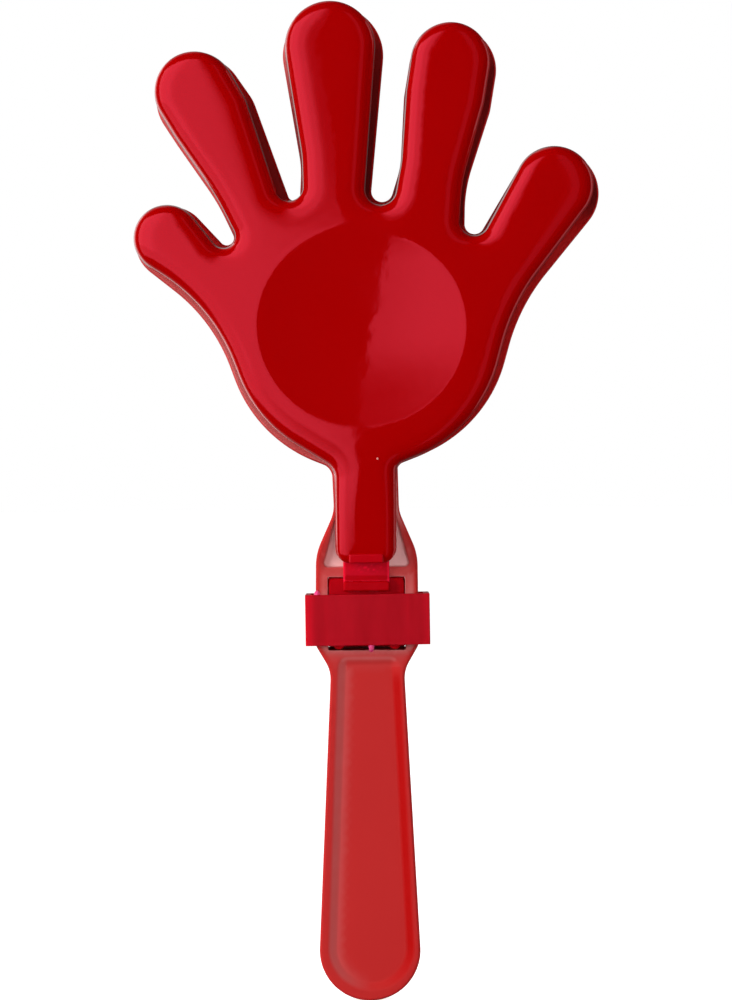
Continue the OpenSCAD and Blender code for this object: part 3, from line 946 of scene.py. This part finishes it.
def zone_colours(t, p, deep, pale, dark=None):
    """Shifts the base colour by the zone of the surface: below nought deeper, below minus one darker, above nought
    paler. Most zones are painted light, shade and highlights; the strap's flecks are whitening of the plastic.
    """
    base = p.inputs["Base Color"].links[0].from_socket
    z = node(t, "ShaderNodeAttribute", attribute_name="zone")
    co = node(t, "ShaderNodeTexCoord")
    cloud = node(t, "ShaderNodeTexNoise", in_Scale=260.0, in_Detail=3.0)
    t.links.new(co.outputs["Object"], cloud.inputs["Vector"])
    up = node(t, "ShaderNodeMapRange", in_1=0.0, in_2=1.0)
    t.links.new(z.outputs["Fac"], up.inputs[0])
    vary = node(t, "ShaderNodeMapRange", in_1=0.3, in_2=0.7, in_3=0.88, in_4=1.0)
    t.links.new(cloud.outputs["Fac"], vary.inputs[0])
    k = node(t, "ShaderNodeMath", operation="MULTIPLY")
    t.links.new(up.outputs[0], k.inputs[0])
    t.links.new(vary.outputs[0], k.inputs[1])
    down = node(t, "ShaderNodeMapRange", in_1=0.0, in_2=-1.0)
    t.links.new(z.outputs["Fac"], down.inputs[0])
    m1 = node(t, "ShaderNodeMix", data_type="RGBA")
    m1.inputs[7].default_value = (*pale, 1)
    t.links.new(k.outputs[0], m1.inputs[0])
    t.links.new(base, m1.inputs[6])
    m2 = node(t, "ShaderNodeMix", data_type="RGBA")
    m2.inputs[7].default_value = (*deep, 1)
    t.links.new(down.outputs[0], m2.inputs[0])
    t.links.new(m1.outputs[2], m2.inputs[6])
    last = m2
    if dark is not None:
        under = node(t, "ShaderNodeMapRange", in_1=-1.0, in_2=-2.0)
        t.links.new(z.outputs["Fac"], under.inputs[0])
        last = node(t, "ShaderNodeMix", data_type="RGBA")
        last.inputs[7].default_value = (*dark, 1)
        t.links.new(under.outputs[0], last.inputs[0])
        t.links.new(m2.outputs[2], last.inputs[6])
    t.links.new(last.outputs[2], p.inputs["Base Color"])


# satin: pale for painted sheen, deep for painted shade, dark for the painted shadow between the fingers
zone_colours(satin_t, satin_p, (0.44, 0.0009, 0.0008), (1.0, 0.58, 0.57), (0.045, 0.0004, 0.0006))
# gloss: the first colour is the pip's painted highlight, the second the lighter red of the bar's painted light and of
# the inside
zone_colours(gloss_t, gloss_p, (0.95, 0.42, 0.36), (0.55, 0.002, 0.008))
# the inside of a hand keeps the duller finish of the mould's core
core = node(gloss_t, "ShaderNodeAttribute", attribute_name="zone")
dull = node(gloss_t, "ShaderNodeMapRange", in_1=1.0, in_2=2.0, in_3=0.0, in_4=0.45)
gloss_t.links.new(core.outputs["Fac"], dull.inputs[0])
finish = node(gloss_t, "ShaderNodeMath", operation="ADD")
gloss_t.links.new(gloss_p.inputs["Roughness"].links[0].from_socket, finish.inputs[0])
gloss_t.links.new(dull.outputs[0], finish.inputs[1])
gloss_t.links.new(finish.outputs[0], gloss_p.inputs["Roughness"])
# strap: deep for the painted shade of the bend, pale for the whitening flecks and the painted glow of its edges
zone_colours(strap_t, strap_p, (0.40, 0.0006, 0.003), (1.0, 0.010, 0.045))
# band: the first colour is the pink of the gate stub and flash, the second the painted light on the ends
zone_colours(sleeve_t, sleeve_p, (1.0, 0.09, 0.27), (0.85, 0.0035, 0.018))

for ob, mat, body, slot, nodes in (
        (front_hand, gloss, "front_hand", "gloss_red", ["front_hand"]),
        (back_hand, gloss, "back_hand", "gloss_red", ["back_hand"]),
        (handle, satin, "handle", "satin_red", ["handle"]),
        (front_foot, strap, "handle", "strap_red", ["front_hinge_foot"]),
        (back_foot, strap, "handle", "strap_red", ["back_hinge_foot"]),
        (band, sleeve, "handle", "band_red", ["locking_band"])):
    ob.data.materials.append(mat)
    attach(ob, body)
    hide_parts(*nodes)

for ob, s, body, name in ((front_film, -1, "front_hand", "front_hinge_film"), (back_film, 1, "back_hand", "back_hinge_film")):
    ob.data.materials.append(strap)
    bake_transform(ob)
    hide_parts(name)

# ---------------------------------------------------------------- floor, light, camera


def plain_mesh(name, verts, faces):
    me = bpy.data.meshes.new(name)
    me.from_pydata(verts, [], faces)
    me.update()
    ob = bpy.data.objects.new(name, me)
    bpy.context.collection.objects.link(ob)
    return ob


floor_z = -0.0465
turns = np.linspace(0, 2 * math.pi, 129)[:-1]
floor = plain_mesh("floor", [(40 * math.cos(a), 40 * math.sin(a), floor_z) for a in turns], [tuple(range(128))])
fm, ft, fp = nodes_of("pale_floor")
fp.inputs["Base Color"].default_value = (0.9, 0.9, 0.9, 1)
fp.inputs["Roughness"].default_value = 0.9
fp.inputs["Specular IOR Level"].default_value = 0.1
fp.inputs["Emission Color"].default_value = (1, 1, 1, 1)
fp.inputs["Emission Strength"].default_value = 0.75
floor.data.materials.append(fm)
floor.visible_glossy = False
floor.visible_diffuse = False


def direction(az, el, dist):
    """A point seen from the middle of the hand, azimuth to the right of the camera side."""
    a, e = az * DEG, el * DEG
    return Vector((math.sin(a) * math.cos(e) * dist, -math.cos(a) * math.cos(e) * dist, 0.14 + math.sin(e) * dist))


def softbox(name, right, left, low, high, glow, strength, across=48, up=36):
    """A luminous sheet on a sphere round the hand, from azimuth left(el) to right(el), shaded by glow(az, el)."""
    verts, faces, level = [], [], []
    for j in range(up + 1):
        el = low + (high - low) * j / up
        for i in range(across + 1):
            f = (i / across) ** 1.6
            az = right(el) + (left(el) - right(el)) * f
            verts.append(direction(az, el, 1.6))
            level.append(float(glow(right(el) - az, az, el)))
    for j in range(up):
        for i in range(across):
            k = j * (across + 1) + i
            faces.append((k, k + 1, k + across + 2, k + across + 1))
    ob = plain_mesh(name, verts, faces)
    at = ob.data.attributes.new("glow", "FLOAT", "POINT")
    at.data.foreach_set("value", level)
    m = bpy.data.materials.new(name)
    m.use_nodes = True
    t = m.node_tree
    t.nodes.clear()
    a = node(t, "ShaderNodeAttribute", attribute_name="glow")
    k = node(t, "ShaderNodeMath", operation="MULTIPLY")
    k.inputs[1].default_value = strength
    t.links.new(a.outputs["Fac"], k.inputs[0])
    e = node(t, "ShaderNodeEmission")
    t.links.new(k.outputs[0], e.inputs["Strength"])
    o = node(t, "ShaderNodeOutputMaterial")
    t.links.new(e.outputs["Emission"], o.inputs["Surface"])
    ob.data.materials.append(m)
    ob.visible_camera = False
    ob.visible_shadow = False
    ob.visible_diffuse = False
    return ob


def left_glow(t, az, el):
    crisp = 0.8 + 0.2 * smooth(t / 2.5)
    soft = 0.15 + 0.85 * smooth(t / 7.5)
    w = smooth((el + 4) / 4.5)
    fade = (1 - smooth((-az - 60) / 14)) * smooth((el + 32) / 8) * (1 - smooth((el - 30) / 8))
    low = 1 - smooth((el + 10.9) / 1.6)
    main = (crisp * (1 - w) + soft * w) * (1 + 0.5 * smooth((t - 8) / 14))
    return (main * (1 - low) + 1.05 * min(max(t, 0) / 16, 1) ** 0.6 * low) * fade


def back_glow(t, az, el):
    return smooth(t / 8) * smooth((46 - t) / 5) * smooth((el + 32) / 8) * (1 - smooth((el - 30) / 8))


def rim_glow(t, az, el):
    return smooth(t / 8) * smooth((35 - t) / 8)


def right_glow(t, az, el):
    return smooth(t / 4) * smooth((14 - t) / 4)


softbox("left_softbox", lambda el: -0.4 + 0.068 * el, lambda el: -76.0, -32, 38, left_glow, 2.7, 72, 70)
softbox("back_softbox", lambda el: 246.0, lambda el: 200.0, -32, 38, back_glow, 1.6, 32, 32)
softbox("right_rim", lambda el: 130.0, lambda el: 95.0, -32, 38, rim_glow, 0.8, 20, 20)
softbox("right_strip", lambda el: 26.0, lambda el: 12.0, -34, 34, right_glow, 0.5, 16, 16)


def area(name, loc, aim, w, h, watts, glossy=False):
    d = bpy.data.lights.new(name, "AREA")
    d.shape, d.size, d.size_y, d.energy = "RECTANGLE", w, h, watts
    ob = bpy.data.objects.new(name, d)
    bpy.context.collection.objects.link(ob)
    ob.location = loc
    ob.rotation_euler = (Vector(aim) - Vector(loc)).to_track_quat("-Z", "Y").to_euler()
    ob.visible_camera = False
    ob.visible_glossy = glossy
    return ob


area("left_key", (-1.35, -0.72, 0.45), (0, 0, 0.1), 0.8, 0.9, 24)
area("right_fill", (1.1, -1.0, 0.3), (0, 0, 0.1), 1.0, 1.0, 4.5)
area("back_key", (0.95, 1.25, 0.5), (0, 0, 0.1), 0.8, 0.8, 9)
area("front_fill", (0.1, -1.6, 0.1), (0, 0, 0.1), 0.6, 0.6, 6.2)

world = bpy.data.worlds.new("studio")
bpy.context.scene.world = world
world.use_nodes = True
wt = world.node_tree
wt.nodes.clear()
path = node(wt, "ShaderNodeLightPath")
tc = node(wt, "ShaderNodeTexCoord")
sep = node(wt, "ShaderNodeSeparateXYZ")
wt.links.new(tc.outputs["Generated"], sep.inputs[0])
# bright sweep behind the object, dark room in front of it
sweep = ramp(wt, sep.outputs["Y"], [(0.0, (0.0, 0.0, 0.0)), (0.12, (0.04, 0.04, 0.04)), (0.5, (0.45, 0.45, 0.45))])
side = node(wt, "ShaderNodeMapRange", in_1=-0.1, in_2=0.1, in_3=1.0, in_4=0.1)
wt.links.new(sep.outputs["X"], side.inputs[0])
sided = node(wt, "ShaderNodeMix", data_type="RGBA", blend_type="MULTIPLY", in_0=1.0)
wt.links.new(sweep.outputs["Color"], sided.inputs[6])
wt.links.new(side.outputs[0], sided.inputs[7])
mix1 = node(wt, "ShaderNodeMix", data_type="RGBA")
around = ramp(wt, sep.outputs["Y"], [(0.0, (0.17, 0.17, 0.17)), (0.25, (0.65, 0.65, 0.65))])
wt.links.new(around.outputs["Color"], mix1.inputs[6])
wt.links.new(path.outputs["Is Glossy Ray"], mix1.inputs[0])
wt.links.new(sided.outputs[2], mix1.inputs[7])
mix2 = node(wt, "ShaderNodeMix", data_type="RGBA")
mix2.inputs[7].default_value = (1.0, 1.0, 1.0, 1)
wt.links.new(path.outputs["Is Camera Ray"], mix2.inputs[0])
wt.links.new(mix1.outputs[2], mix2.inputs[6])
bg = node(wt, "ShaderNodeBackground")
wt.links.new(mix2.outputs[2], bg.inputs["Color"])
wo = node(wt, "ShaderNodeOutputWorld")
wt.links.new(bg.outputs[0], wo.inputs["Surface"])

cam = bpy.data.cameras.new("camera")
cam.lens, cam.sensor_width = 102.5, 36
cam.clip_end = 200
cam_ob = bpy.data.objects.new("camera", cam)
bpy.context.collection.objects.link(cam_ob)
cam_ob.location = (0.0001, -0.8, 0.0939)
cam_ob.rotation_euler = (math.pi / 2, 0.53 * DEG, 0)
bpy.context.scene.camera = cam_ob
bpy.context.scene.view_settings.view_transform = "Standard"
